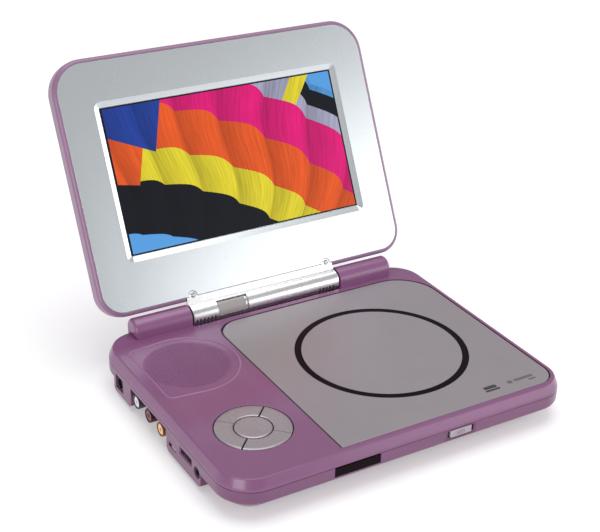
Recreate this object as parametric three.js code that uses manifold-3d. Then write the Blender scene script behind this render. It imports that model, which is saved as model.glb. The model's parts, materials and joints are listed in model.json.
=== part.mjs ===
// A portable disc player: a shallow base with a disc bay under a flush door, and a screen lid on a
// friction hinge. Millimetres, +X to the right, +Y to the back, +Z up. Inside this file the base's
// top face is z = 0, its middle is x = 0 and the disc spins about y = 0; the last lines move the
// whole player so that its origin is under the middle of its footprint.
import * as THREE from "three";
import { mergeVertices } from "three/addons/utils/BufferGeometryUtils.js";
import Module from "manifold-3d";

const wasm = await Module();
wasm.setup();

// ---- driving dimensions ----
const BASE = { x0: -106, x1: 106, y0: -77, y1: 89 };
const BASE_CORNERS = { frontLeft: 20, frontRight: 18, backRight: 20, backLeft: 20 };
const BASE_BOTTOM = -22;
const FOOT_HEIGHT = 2;
const TOP_INSET = 3; // the top band leans out by this much down to the parting line
const PARTING = -6.5;
const PARTING_GAP = 0.3;
const WALL = 2.2;
const CHAMFER = { inset: 10, height: 9.5 };
const INNER_CHAMFER = { inset: 9.3, height: 8.6 };
const SKIN = 2; // thickness of the base's top face and of its floor
const FAR = 40; // how far a cutting piece runs past what it cuts

const DOOR = { x0: -40.5, x1: 101.3, y0: -71, y1: 71.4 };
const DOOR_CORNERS = { frontLeft: 1, frontRight: 12, backRight: 25, backLeft: 15 };
const DOOR_GAP = 0.4;
const DOOR_THICK = 2.2;
const DISC = { x: 30.7, y: 0 };
const RING = { outer: 49.7, inner: 45.85, depth: 0.55 };
const BAY = { radius: 62, floor: -8.8, top: -2.6, skin: 1.3 };
const NOTCH = { reach: 59, radius: 9 }; // finger notches on the two sides of the disc pocket
const HUB_RADIUS = 7.3;

const PAD = { x: -71, y: -33.4, radius: 20.4, centre: 10.2, gap: 0.5, proud: 0.3 };
const SLIT = { wide: 1, thin: 0.5 }; // between the keys of the pad
const SPEAKER = { x: -73.3, y: 38.5, radius: 24.6 };

const AXIS = { y: 83.3, z: 3 };
const BARREL = { half: 50, radius: 6.8 };
const TROUGH = { half: 50.7, front: 75.2, floor: -5.2 };
const BARREL_WINDOW = { x0: -33.4, x1: -13.5, z0: -3.7, z1: 4.3, gap: 0.3 };
const EARS = { xs: [-45.7, 45.7], z: 11.5, radius: 2.5, hole: 1.5 }; // screw ears of the barrel
const KNUCKLE = { radius: 7, inner: 51, outerLeft: 87, outerRight: 88 };
const SHAFT_RADIUS = 2.4;

const LID_TILT = 26.7; // degrees back from upright
const LID = { half: 102.8, bottom: 8.5, top: 157.7, front: -2.1, back: 10.9 };
const LID_CORNERS = { frontLeft: 15, frontRight: 15, backRight: 20, backLeft: 20 };
const RIM = 2.3;
const LID_GAP = 0.3;
const SCREEN = { half: 77.04, bottom: 41.5, top: 128.1, bevel: 3.4 };

// the left side: connector blocks rear and front of a jack panel, and the controls in the front one
const BLOCKS = [{ y0: 43.6, y1: 67 }, { y0: -41.6, y1: -1.5 }];
const JACK_X = { face: -105.5, panel: -98.5, end: -88 };
const JACK_Z = -14.3;
const RCA_Y = { rca_white: 37.6, rca_red: 22.1, rca_yellow: 7.1 };
const DC = { y0: 54.2, y1: 63.8, z0: -18.2, z1: -9.9 };
const PHONE = { y: -37.4, z: -14.2 };
const WHEEL = { x: -97.5, y: -24.7, z: -12, radius: 8.4, half: 1.1 }; // lies flat in its slot
const SWITCH = { y: -10.4, z: -15.5, length: 4.6, half: 0.9 };

// the front
const IR = { x0: -48, x1: -20, z0: -12.5, z1: -6.9 };
const BUTTON = { x0: 24, x1: 38, z0: -11.9, z1: -7.5 };

// the disc drive: two rails, the lead screw beside them, and the pickup on both
const SLIDE = { x0: 16, x1: 45.4, z: -14.6, from: -64.8, to: -11.4 };
const SCREW = { x: 51.4, radius: 1.5 };
const LENS_Y = -40;
const SLED_HALF = 7;
const TURRET_HALF = 6.2;

// underneath
const SCREWS = [[-88, -60], [-66, 72], [90, -58], [90, 62]];
const BOSS = { radius: 3.2, bore: 1.4, foot: -19.6 };
const FEET = [[-80, -54], [80, -54], [-80, 66], [80, 66]];

// ---- materials ----
const finish = (color, roughness, metalness = 0) => () =>
  new THREE.MeshStandardMaterial({ color, roughness, metalness });
const purple = finish(0x925f8e, 0.45);
const silver = finish(0xc4c6cc, 0.4, 0.3);
const doorGrey = finish(0x9a969a, 0.4, 0.3);
const dark = finish(0x17131a, 0.5);
const greyPlastic = finish(0x55525a, 0.6);
const steel = finish(0x9a9a9e, 0.3, 0.9);
const board = finish(0x1f5a38, 0.6);
const rubber = finish(0x1b1b1d, 0.9);

// ---- solids ----
function solid(geometry) {
  const bare = geometry.clone();
  bare.deleteAttribute("normal");
  bare.deleteAttribute("uv");
  const merged = mergeVertices(bare, 1e-4);
  return new wasm.Manifold(new wasm.Mesh({
    numProp: 3,
    vertProperties: new Float32Array(merged.attributes.position.array),
    triVerts: new Uint32Array(merged.index.array),
  }));
}

function geometryOf(body) {
  const mesh = body.getMesh();
  const geometry = new THREE.BufferGeometry();
  geometry.setAttribute("position", new THREE.BufferAttribute(mesh.vertProperties, 3));
  geometry.setIndex(new THREE.BufferAttribute(mesh.triVerts, 1));
  geometry.computeVertexNormals();
  return geometry;
}

function box(x0, x1, y0, y1, z0, z1) {
  const geometry = new THREE.BoxGeometry(x1 - x0, y1 - y0, z1 - z0);
  geometry.translate((x0 + x1) / 2, (y0 + y1) / 2, (z0 + z1) / 2);
  return solid(geometry);
}

function rod(axis, radius, from, to, centre, sides = 24) {
  const geometry = new THREE.CylinderGeometry(radius, radius, to - from, sides);
  geometry.translate(0, (from + to) / 2, 0);
  if (axis === "z") geometry.rotateX(Math.PI / 2).translate(centre[0], centre[1], 0);
  if (axis === "x") geometry.rotateZ(-Math.PI / 2).translate(0, centre[0], centre[1]);
  if (axis === "y") geometry.translate(centre[0], 0, centre[1]);
  return solid(geometry);
}

// A turned piece about a vertical line: the profile is [radius, z] points from bottom to top.
function turned(profile, x, y, sides = 32) {
  const points = profile.map(([r, z]) => new THREE.Vector2(r, z));
  const geometry = new THREE.LatheGeometry(points, sides);
  return solid(geometry.rotateX(Math.PI / 2).translate(x, y, 0));
}

// A rectangle with its own radius at each corner, drawn anticlockwise and pulled in by inset.
function roundedOutline(area, corners, inset = 0) {
  const [x0, x1] = [area.x0 + inset, area.x1 - inset];
  const [y0, y1] = [area.y0 + inset, area.y1 - inset];
  const radius = (name) => Math.max(corners[name] - inset, 0.5);
  const shape = new THREE.Shape();
  const arc = (x, y, r, start) => shape.absarc(x, y, r, start, start + Math.PI / 2);
  arc(x0 + radius("frontLeft"), y0 + radius("frontLeft"), radius("frontLeft"), Math.PI);
  arc(x1 - radius("frontRight"), y0 + radius("frontRight"), radius("frontRight"), -Math.PI / 2);
  arc(x1 - radius("backRight"), y1 - radius("backRight"), radius("backRight"), 0);
  arc(x0 + radius("backLeft"), y1 - radius("backLeft"), radius("backLeft"), Math.PI / 2);
  shape.closePath();
  return shape;
}

// A plate between two heights, widened from its ends towards its middle by an edge of
// edge.inset, edge.height and edge.steps.
function plate(shape, z0, z1, edge = null, curveSegments = 4) {
  const height = edge ? edge.height : 0;
  const geometry = new THREE.ExtrudeGeometry(shape, {
    depth: z1 - z0 - 2 * height,
    curveSegments,
    bevelEnabled: Boolean(edge),
    bevelThickness: height,
    bevelSize: edge ? edge.inset : 0,
    bevelSegments: edge ? edge.steps : 0,
  });
  return solid(geometry.translate(0, 0, z0 + height));
}

// The body with a screw boss under it at each of the places.
function withBosses(body, places, top) {
  let result = body;
  for (const place of places) {
    result = result.add(rod("z", BOSS.radius, BOSS.foot, top, place, 16));
    result = result.subtract(rod("z", BOSS.bore, BOSS.foot - 1, -6, place, 12));
  }
  return result;
}

const player = new THREE.Group();
function add(group, name, body, material) {
  const mesh = new THREE.Mesh(geometryOf(body), material());
  mesh.name = name;
  group.add(mesh);
}

// ---- base: the two case halves ----
function baseUpperCase() {
  const edge = { inset: TOP_INSET, height: -PARTING, steps: 3 };
  const cavity = roundedOutline(BASE, BASE_CORNERS, WALL + 0.3);
  const opening = {
    x0: DOOR.x0 - DOOR_GAP, x1: DOOR.x1 + DOOR_GAP,
    y0: DOOR.y0 - DOOR_GAP, y1: DOOR.y1 + 0.5,
  };
  let body = plate(roundedOutline(BASE, BASE_CORNERS, TOP_INSET), -FAR, 0, edge)
    .intersect(box(-FAR * 4, FAR * 4, -FAR * 4, FAR * 4, PARTING, 1))
    .subtract(plate(cavity, -FAR, -SKIN))
    .subtract(plate(roundedOutline(opening, DOOR_CORNERS), -SKIN - 1, 1))
    .subtract(rod("z", PAD.radius + 0.6, -SKIN - 1, 1, [PAD.x, PAD.y], 40))
    .subtract(rod("z", SPEAKER.radius + 0.3, -SKIN - 1, 1, [SPEAKER.x, SPEAKER.y], 40));
  // the trough that the hinge barrel turns in, and the seats of the two hinge covers
  const rear = BASE.y1 + FAR;
  const seat = AXIS.y + 2.4;
  const middle = TROUGH.half + 1.5;
  body = body
    .add(box(-middle, middle, TROUGH.front - 1.5, BASE.y1 - 1.5, PARTING, -0.5))
    .subtract(box(-TROUGH.half, TROUGH.half, TROUGH.front, rear, TROUGH.floor, 1))
    .subtract(box(-KNUCKLE.outerLeft - 0.3, -TROUGH.half, seat, rear, PARTING - 1, 1))
    .subtract(box(TROUGH.half, KNUCKLE.outerRight + 0.3, seat, rear, PARTING - 1, 1));
  return withBosses(body, SCREWS.filter(([x]) => x < 0), -SKIN + 0.5);
}

function baseLowerCase() {
  const top = PARTING - PARTING_GAP;
  const outer = roundedOutline(BASE, BASE_CORNERS, CHAMFER.inset);
  const inner = roundedOutline(BASE, BASE_CORNERS, INNER_CHAMFER.inset + WALL);
  let body = plate(outer, BASE_BOTTOM, FAR, { ...CHAMFER, steps: 1 })
    .subtract(plate(inner, BASE_BOTTOM + SKIN, FAR, { ...INNER_CHAMFER, steps: 1 }))
    .intersect(box(-FAR * 4, FAR * 4, -FAR * 4, FAR * 4, -FAR, top));
  // two connector blocks stand flush with the left side, with the jack panel set back between them
  for (const { y0, y1 } of BLOCKS)
    body = body.add(box(BASE.x0, -96, y0, y1, BASE_BOTTOM + 0.3, top));
  const [rearBlock, frontBlock] = BLOCKS;
  const ledge = -8.6;
  const outside = -FAR * 4;
  body = body
    .add(box(JACK_X.panel, -96.3, frontBlock.y1 - 1.5, rearBlock.y0 + 1.4, BASE_BOTTOM + 1, top))
    .add(box(BASE.x0 + 1, JACK_X.panel + 1, frontBlock.y1 - 1.5, rearBlock.y0 + 1.4, ledge, top))
    .subtract(box(outside, JACK_X.panel, frontBlock.y1, rearBlock.y0, -FAR, ledge))
    .subtract(box(outside, -94, DC.y0 - 0.2, DC.y1 + 0.2, DC.z0 - 0.2, DC.z1 + 0.2))
    .subtract(rod("x", 3.2, outside, -94, [PHONE.y, PHONE.z], 20))
    .subtract(box(outside, -103.4, WHEEL.y - 6.3, WHEEL.y + 6.3, WHEEL.z - 1.7, WHEEL.z + 1.7))
    .subtract(box(-103.5, -87, WHEEL.y - 9, WHEEL.y + 9, WHEEL.z - 1.7, WHEEL.z + 1.7))
    .subtract(box(outside, -94, SWITCH.y - 3, SWITCH.y + 5.8, SWITCH.z - 1.3, SWITCH.z + 1.3));
  for (const y of Object.values(RCA_Y))
    body = body.subtract(rod("x", 4.4, outside, -94, [y, JACK_Z], 16));
  // the front: the infrared window, the button and the shallow recess around the button
  const front = BASE.y0 - 1;
  const { x0, x1, z0, z1 } = BUTTON;
  body = body
    .subtract(box(IR.x0, IR.x1, front, -70, IR.z0, top + 1))
    .subtract(box(x0 - 3, x1 + 2, front, BASE.y0 + 0.7, z0 - 0.5, z1 + 0.5))
    .subtract(box(x0 - 0.3, x1 + 0.3, front, -70, z0 - 0.3, z1 + 0.3));
  for (const [x, y] of SCREWS)
    body = body.subtract(rod("z", 1.5, -FAR, -18, [x, y], 12))
      .subtract(rod("z", 3, -FAR, BASE_BOTTOM + 1.2, [x, y], 16));
  for (const [x, y] of FEET)
    body = body.subtract(rod("z", 6.3, -FAR, BASE_BOTTOM + 0.6, [x, y], 16));
  return body;
}

add(player, "base_upper_case", baseUpperCase(), purple);
add(player, "base_lower_case", baseLowerCase(), purple);
SCREWS.forEach(([x, y], i) => {
  const screw = rod("z", 2.6, BASE_BOTTOM + 0.1, BASE_BOTTOM + 1.1, [x, y], 16)
    .add(rod("z", 1.2, BASE_BOTTOM + 0.5, -11, [x, y], 12));
  add(player, "case_screw_" + (i + 1), screw, steel);
});
FEET.forEach(([x, y], i) => {
  const foot = rod("z", 6, BASE_BOTTOM - FOOT_HEIGHT, BASE_BOTTOM + 0.5, [x, y], 16);
  add(player, "foot_" + (i + 1), foot, rubber);
});

// ---- base: sockets and controls in the sides ----
for (const [name, y] of Object.entries(RCA_Y)) {
  const colour = { rca_white: 0xe9e6e6, rca_red: 0xa03a4a, rca_yellow: 0xe0a640 }[name];
  const jack = rod("x", 4.1, JACK_X.face, -94.5, [y, JACK_Z], 16)
    .add(rod("x", 4.3, -95.4, JACK_X.end, [y, JACK_Z], 12))
    .subtract(rod("x", 1.7, JACK_X.face - 1, -97, [y, JACK_Z], 12));
  add(player, name, jack, finish(colour, 0.4));
}
const dcJack = box(JACK_X.face, -93, DC.y0, DC.y1, DC.z0, DC.z1)
  .subtract(box(JACK_X.face - 1, -96.5, DC.y0 + 1, DC.y1 - 1, DC.z0 + 1, DC.z1 - 1))
  .add(rod("x", 0.9, JACK_X.face + 1.5, -96, [(DC.y0 + DC.y1) / 2, (DC.z0 + DC.z1) / 2], 10));
add(player, "dc_jack", dcJack, dark);
const phoneJack = rod("x", 3, JACK_X.face, -91, [PHONE.y, PHONE.z], 20)
  .subtract(rod("x", 1.8, JACK_X.face - 1, -93, [PHONE.y, PHONE.z], 12));
add(player, "phone_jack", phoneJack, dark);

const wheel = rod("z", WHEEL.radius, WHEEL.z - WHEEL.half, WHEEL.z + WHEEL.half, [WHEEL.x, WHEEL.y], 36)
  .add(rod("z", 3, WHEEL.z - WHEEL.half - 0.4, WHEEL.z + WHEEL.half, [WHEEL.x, WHEEL.y], 16));
add(player, "volume_wheel", wheel, dark);
const knob = box(BASE.x0 + 0.1, -100, SWITCH.y - SWITCH.length / 2, SWITCH.y + SWITCH.length / 2,
  SWITCH.z - SWITCH.half, SWITCH.z + SWITCH.half);
add(player, "power_switch", knob, silver);

const button = box(BUTTON.x0, BUTTON.x1, BASE.y0, BASE.y0 + 3.4, BUTTON.z0, BUTTON.z1)
  .add(box(BUTTON.x0 + 4, BUTTON.x1 - 4, BASE.y0 + 3, BASE.y0 + 5.6, BUTTON.z0 + 1, BUTTON.z1 - 1));
add(player, "open_button", button, silver);
add(player, "ir_window", box(IR.x0 + 0.2, IR.x1 - 0.2, BASE.y0 + 0.1, -75, IR.z0 + 0.2, IR.z1 - 0.2), dark);
add(player, "ir_receiver", box(-37, -31, -73.5, -69.5, -12, -7.4), dark);

// ---- base: speaker ----
function speakerGrille() {
  let body = rod("z", SPEAKER.radius, -1.4, 0, [SPEAKER.x, SPEAKER.y], 40);
  const pitch = 7;
  for (let ring = 0; ring < 3; ring++)
    for (let i = 0; i < Math.max(ring * 6, 1); i++) {
      const angle = (i / Math.max(ring * 6, 1)) * 2 * Math.PI;
      const hole = [SPEAKER.x + ring * pitch * Math.cos(angle), SPEAKER.y + ring * pitch * Math.sin(angle)];
      body = body.subtract(rod("z", 1.3, -3, 1, hole, 6));
    }
  return body;
}
add(player, "speaker_grille", speakerGrille(), purple);
const driver = turned([[0, -14.5], [12, -14.5], [12, -9.5], [18, -4.4], [22, -4.4], [22, -2.6],
  [19, -2.6], [4, -8], [0, -7]], SPEAKER.x, SPEAKER.y, 24);
add(player, "speaker_driver", driver, greyPlastic);

// ---- base: key pad ----
function padSector(middle, slitBefore, slitAfter) {
  const { x, y, radius, centre, gap, proud } = PAD;
  const sector = (inner, outer) => {
    const shape = new THREE.Shape();
    const at = (r, slit) => slit / 2 / r;
    const start = middle - Math.PI / 4;
    const end = middle + Math.PI / 4;
    shape.absarc(x, y, outer, start + at(outer, slitBefore), end - at(outer, slitAfter), false);
    shape.absarc(x, y, inner, end - at(inner, slitAfter), start + at(inner, slitBefore), true);
    shape.closePath();
    return shape;
  };
  const stem = [x + 15 * Math.cos(middle), y + 15 * Math.sin(middle)];
  return plate(sector(centre + gap, radius), -3.2, proud, null, 5)
    .add(rod("z", 1.5, -4.4, -2, stem, 12));
}
["right", "up", "left", "down"].forEach((side, i) => {
  const [before, after] = i % 2 ? [SLIT.wide, SLIT.thin] : [SLIT.thin, SLIT.wide];
  add(player, "key_" + side, padSector((i * Math.PI) / 2, before, after), silver);
});
const enter = rod("z", PAD.centre, -3.2, PAD.proud, [PAD.x, PAD.y], 32)
  .add(rod("z", 1.5, -4.4, -2, [PAD.x, PAD.y], 12));
add(player, "key_enter", enter, silver);
let keyBoard = box(PAD.x - 22, PAD.x + 22, PAD.y - 22, PAD.y + 22, -6.6, -5.4);
for (let i = 0; i < 5; i++) {
  const reach = i === 4 ? 0 : 15;
  const dome = [PAD.x + reach * Math.cos((i * Math.PI) / 2), PAD.y + reach * Math.sin((i * Math.PI) / 2)];
  keyBoard = keyBoard.add(rod("z", 2.4, -5.6, -5.1, dome, 12));
}
add(player, "key_board", keyBoard, board);

// ---- base: boards and battery ----
const mainBoard = box(-86.5, -46, -50, 62, -17.6, -16.2)
  .add(box(-78, -60, -30, -12, -16.4, -13.8))
  .add(box(-56, -48, 0, 20, -16.4, -14.6))
  .add(box(-84, -76, 8, 24, -16.4, -15))
  .add(rod("z", 4, -16.4, -9, [-54, -40], 12));
add(player, "main_board", mainBoard, board);
add(player, "battery_pack", box(62, 93.5, -50, 50, -19.5, -11.5), greyPlastic);

// ---- disc drive ----
function discBay() {
  const rim = { x0: -43, x1: 103, y0: -73.4, y1: 73.4 };
  const corners = { frontLeft: 3, frontRight: 14, backRight: 16, backLeft: 16 };
  const notches = [[DISC.x - NOTCH.reach, DISC.y], [DISC.x + NOTCH.reach, DISC.y]];
  const underneath = BAY.floor - BAY.skin;
  let body = plate(roundedOutline(rim, corners), BAY.top - BAY.skin, BAY.top)
    .add(rod("z", BAY.radius + BAY.skin, underneath, BAY.top, [DISC.x, DISC.y], 56));
  for (const notch of notches)
    body = body.add(rod("z", NOTCH.radius + BAY.skin, underneath, BAY.top, notch, 24));
  body = withBosses(body, SCREWS.filter(([x]) => x > 0), BAY.top - 0.5)
    .subtract(rod("z", BAY.radius, BAY.floor, 1, [DISC.x, DISC.y], 56));
  for (const notch of notches)
    body = body.subtract(rod("z", NOTCH.radius, BAY.floor, 1, notch, 24));
  return body
    .subtract(rod("z", 3.5, -FAR, 1, [DISC.x, DISC.y], 20))
    .subtract(box(DISC.x - 7.5, DISC.x + 7.5, -61.8, -16.4, -FAR, BAY.floor + 0.5))
    .subtract(box(DISC.x - 5, DISC.x + 5, -72.4, -67.5, -FAR, 1));
}
add(player, "disc_bay", discBay(), greyPlastic);

function driveChassis() {
  let body = box(0, 60, -65.5, 18, -18.9, -17.9)
    .subtract(box(12, 49, -61, -14, -FAR, 0))
    .add(box(8, 58, -65.2, -63, -18.5, -12.2))
    .add(box(8, 58, -12.4, -11, -18.5, -12.2));
  for (const x of [SLIDE.x0, SLIDE.x1])
    body = body.subtract(rod("y", 1.7, -FAR * 2, 0, [x, SLIDE.z], 16));
  return body
    .subtract(rod("y", 1.8, -FAR * 2, 0, [SCREW.x, SLIDE.z], 16))
    .subtract(rod("z", 10.6, -FAR, 0, [DISC.x, DISC.y], 24));
}
add(player, "drive_chassis", driveChassis(), steel);
[[4, -62], [56, -62], [4, 13]].forEach(([x, y], i) =>
  add(player, "damper_" + (i + 1), rod("z", 3.5, BASE_BOTTOM + SKIN + 0.05, -18.95, [x, y], 12), rubber));
add(player, "rail_left", rod("y", 1.5, SLIDE.from, SLIDE.to, [SLIDE.x0, SLIDE.z], 16), steel);
add(player, "rail_right", rod("y", 1.5, SLIDE.from, SLIDE.to, [SLIDE.x1, SLIDE.z], 16), steel);
const feedMotor = rod("y", 3.2, -10.4, 4, [SCREW.x, SLIDE.z], 16);
add(player, "feed_motor", feedMotor, steel);
add(player, "lead_screw", rod("y", SCREW.radius, SLIDE.from, -10.8, [SCREW.x, SLIDE.z], 16), steel);

const spindleMotor = rod("z", 10, -18.6, -12.4, [DISC.x, DISC.y], 24)
  .add(rod("z", 1.2, -13, -5, [DISC.x, DISC.y], 16));
add(player, "spindle_motor", spindleMotor, steel);
const turntable = turned([[0, -8.1], [2.6, -8.1], [2.6, -7.6], [14.5, -7.6], [14.5, -6.4],
  [HUB_RADIUS, -6.4], [HUB_RADIUS, -4.8], [HUB_RADIUS - 1.2, -3.6], [0, -3.6]], DISC.x, DISC.y, 32)
  .subtract(rod("z", 1.4, -9, -4.6, [DISC.x, DISC.y], 16))
  .add(box(DISC.x + 9.5, DISC.x + 12.5, -1.5, 1.5, -6.6, -6.3));
add(player, "turntable", turntable, dark);

const sled = box(13.2, 48.4, LENS_Y - SLED_HALF, LENS_Y + SLED_HALF, -17.2, -12)
  .add(box(48, 54.4, LENS_Y - 4, LENS_Y + 4, -16.6, -12))
  .add(box(DISC.x - TURRET_HALF, DISC.x + TURRET_HALF, LENS_Y - 6, LENS_Y + 6, -12.5, -9.4))
  .subtract(rod("y", 1.8, -FAR * 2, 0, [SLIDE.x0, SLIDE.z], 16))
  .subtract(rod("y", 1.8, -FAR * 2, 0, [SLIDE.x1, SLIDE.z], 16))
  .subtract(rod("y", 1.8, -FAR * 2, 0, [SCREW.x, SLIDE.z], 16))
  .subtract(rod("z", 3.9, -11.5, 0, [DISC.x, LENS_Y], 20));
add(player, "pickup_sled", sled, greyPlastic);
const lens = turned([[0, -11.2], [3.6, -11.2], [3.6, -8.9], [2.6, -8.9], [2.2, -8.5], [0, -8.3]],
  DISC.x, LENS_Y, 20);
add(player, "pickup_lens", lens, finish(0x6a78a8, 0.1));

// ---- disc door, closed at rest; it turns about a line inside its rear edge ----
const doorEdge = { inset: 0.4, height: 0.4, steps: 1 };
const door = plate(roundedOutline(DOOR, DOOR_CORNERS, doorEdge.inset), -DOOR_THICK, 0, doorEdge)
  .subtract(rod("z", RING.outer + 0.1, -RING.depth - 0.1, 1, [DISC.x, DISC.y], 64)
    .subtract(rod("z", RING.inner - 0.1, -3, 2, [DISC.x, DISC.y], 64)))
  .add(box(DISC.x - 3.5, DISC.x + 3.5, -70.6, -69.4, -7.2, -1.5))
  .add(box(DISC.x - 3.5, DISC.x + 3.5, -71.4, -70, -7.2, -6.2));
add(player, "disc_door", door, doorGrey);
const ring = rod("z", RING.outer, -RING.depth, 0, [DISC.x, DISC.y], 64)
  .subtract(rod("z", RING.inner, -3, 2, [DISC.x, DISC.y], 64));
add(player, "door_ring", ring, dark);

// ---- hinge covers and shafts, fixed to the base ----
function hingeCover(x0, x1) {
  const rear = BASE.y1;
  const shape = new THREE.Shape();
  // profile across the hinge, with the shape's x along the player's y and its y up
  shape.moveTo(AXIS.y - KNUCKLE.radius, 0.1);
  shape.lineTo(AXIS.y + 2.7, 0.1);
  shape.lineTo(AXIS.y + 2.7, PARTING + 0.1);
  shape.lineTo(rear, PARTING + 0.1);
  shape.lineTo(AXIS.y + KNUCKLE.radius, AXIS.z);
  shape.absarc(AXIS.y, AXIS.z, KNUCKLE.radius, 0, Math.PI, false);
  shape.closePath();
  const settings = { depth: x1 - x0, bevelEnabled: false, curveSegments: 8 };
  const geometry = new THREE.ExtrudeGeometry(shape, settings);
  geometry.rotateX(Math.PI / 2).rotateZ(Math.PI / 2).translate(x0, 0, 0);
  const inside = Math.sign(x0) > 0 ? [x0 - 1, x0 + 30] : [x1 - 30, x1 + 1];
  return solid(geometry).subtract(rod("x", SHAFT_RADIUS + 0.1, ...inside, [AXIS.y, AXIS.z], 24));
}
add(player, "hinge_cover_left", hingeCover(-KNUCKLE.outerLeft, -KNUCKLE.inner), purple);
add(player, "hinge_cover_right", hingeCover(KNUCKLE.inner, KNUCKLE.outerRight), purple);
const shaft = (from, to) => rod("x", SHAFT_RADIUS, from, to, [AXIS.y, AXIS.z], 24);
add(player, "hinge_shaft_left", shaft(-80, -40), steel);
add(player, "hinge_shaft_right", shaft(40, 80), steel);

// ---- lid: in its own group, +Z up the lid, -Y out of its face, origin on the hinge line ----
const lid = new THREE.Group();
lid.position.set(0, AXIS.y, AXIS.z);
lid.rotation.x = THREE.MathUtils.degToRad(-LID_TILT);
player.add(lid);

const LID_AREA = { x0: -LID.half, x1: LID.half, y0: LID.bottom, y1: LID.top };

// A plate that lies in the lid: its outline is across and up the lid, front is towards the viewer.
function lidPlate(shape, front, back, edge = null) {
  const height = edge ? edge.height : 0;
  const geometry = new THREE.ExtrudeGeometry(shape, {
    depth: back - front - 2 * height,
    curveSegments: 4,
    bevelEnabled: Boolean(edge),
    bevelThickness: height,
    bevelSize: edge ? edge.inset : 0,
    bevelSegments: edge ? edge.steps : 0,
  });
  return solid(geometry.rotateX(Math.PI / 2).translate(0, back - height, 0));
}
const lidOutline = (inset) => roundedOutline(LID_AREA, LID_CORNERS, inset);
const rect = (x0, x1, y0, y1) => roundedOutline({ x0, x1, y0, y1 },
  { frontLeft: 0.5, frontRight: 0.5, backRight: 0.5, backLeft: 0.5 });

function lidRearCover() {
  const back = { inset: 5, height: 5, steps: 3 };
  const front = { inset: RIM, height: RIM, steps: 2 };
  return lidPlate(lidOutline(back.inset), LID.front - FAR, LID.back, back)
    .intersect(lidPlate(lidOutline(front.inset), LID.front, LID.back + FAR, front))
    .subtract(lidPlate(lidOutline(RIM), LID.front - 1, 6))
    .subtract(lidPlate(lidOutline(6), LID.front - 1, LID.back - 2))
    .subtract(box(-BARREL.half - 0.5, BARREL.half + 0.5, LID.front - 1, 1.6, 0, 14.6));
}
add(lid, "lid_rear_cover", lidRearCover(), purple);

function lidBezel() {
  const taper = { inset: SCREEN.bevel, height: 1.8, steps: 1 };
  const opening = rect(-SCREEN.half - 0.2, SCREEN.half + 0.2, SCREEN.bottom - 0.2, SCREEN.top + 0.2);
  let body = lidPlate(lidOutline(RIM + LID_GAP), LID.front, -0.1)
    .subtract(lidPlate(opening, LID.front - FAR, -0.2, taper))
    .subtract(lidPlate(opening, LID.front - FAR, FAR))
    .subtract(box(-BARREL.half - 0.5, BARREL.half + 0.5, -FAR, FAR, 0, 11.3));
  for (const x of EARS.xs)
    body = body.subtract(rod("y", EARS.radius + 0.3, -FAR, FAR, [x, EARS.z], 20));
  return body;
}
add(lid, "lid_bezel", lidBezel(), silver);
add(lid, "screen_window", box(-SCREEN.half + 0.2, SCREEN.half - 0.2, -0.7, -0.2,
  SCREEN.bottom + 0.2, SCREEN.top - 0.2), dark);
add(lid, "lcd_panel", box(-SCREEN.half - 3, SCREEN.half + 3, 0.3, 4.4,
  SCREEN.bottom - 3, SCREEN.top + 3), steel);
const lcdBoard = box(-62, 62, 2.4, 3.6, 15.5, 36)
  .add(box(-30, -14, 3.4, 5, 20, 32))
  .add(box(8, 26, 3.4, 5.4, 18, 28));
add(lid, "lcd_board", lcdBoard, board);
add(lid, "backlight_inverter", box(84, 94, 2, 4, 46, 122).add(box(86, 92, 3.8, 7, 60, 84)), board);

function hingeBarrel() {
  let body = rod("x", BARREL.radius, -BARREL.half, BARREL.half, [0, 0], 36)
    .add(box(-BARREL.half, BARREL.half, LID.front, 1.2, 0, 10.9));
  for (const x of EARS.xs)
    body = body.add(rod("y", EARS.radius, LID.front, 1.2, [x, EARS.z], 20))
      .subtract(rod("y", EARS.hole, LID.front - 1, -1, [x, EARS.z], 16));
  const { x0, x1, z0, z1, gap } = BARREL_WINDOW;
  const pocket = rod("x", 8, x0 - gap, x1 + gap, [0, 0], 36)
    .subtract(rod("x", 5.3, -60, 60, [0, 0], 36))
    .intersect(box(-60, 60, -9, -2.9, z0 - gap, z1 + gap));
  return body
    .subtract(pocket)
    .subtract(rod("x", SHAFT_RADIUS + 0.2, -60, -38, [0, 0], 24))
    .subtract(rod("x", SHAFT_RADIUS + 0.2, 38, 60, [0, 0], 24));
}
add(lid, "hinge_barrel", hingeBarrel(), silver);
const barrelWindow = rod("x", BARREL.radius - 0.1, BARREL_WINDOW.x0, BARREL_WINDOW.x1, [0, 0], 36)
  .subtract(rod("x", 5.6, -60, 60, [0, 0], 36))
  .intersect(box(-60, 60, -9, -3.2, BARREL_WINDOW.z0, BARREL_WINDOW.z1));
add(lid, "barrel_window", barrelWindow, finish(0xb9aca8, 0.3));
EARS.xs.forEach((x, i) => {
  const screw = rod("y", EARS.hole - 0.2, LID.front + 0.1, -1.2, [x, EARS.z], 16);
  add(lid, ["ear_screw_left", "ear_screw_right"][i], screw, steel);
});

// ---- origin: under the middle of the player's footprint ----
player.updateMatrixWorld(true);
const bounds = new THREE.Box3().setFromObject(player, true);
const middle = bounds.getCenter(new THREE.Vector3());
player.position.set(-middle.x, -middle.y, -bounds.min.z);

export default player;
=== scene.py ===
"""A portable disc player with its screen open: the looks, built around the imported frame."""

import json
import math

import bmesh
import bpy
from mathutils import Matrix, Vector


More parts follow.
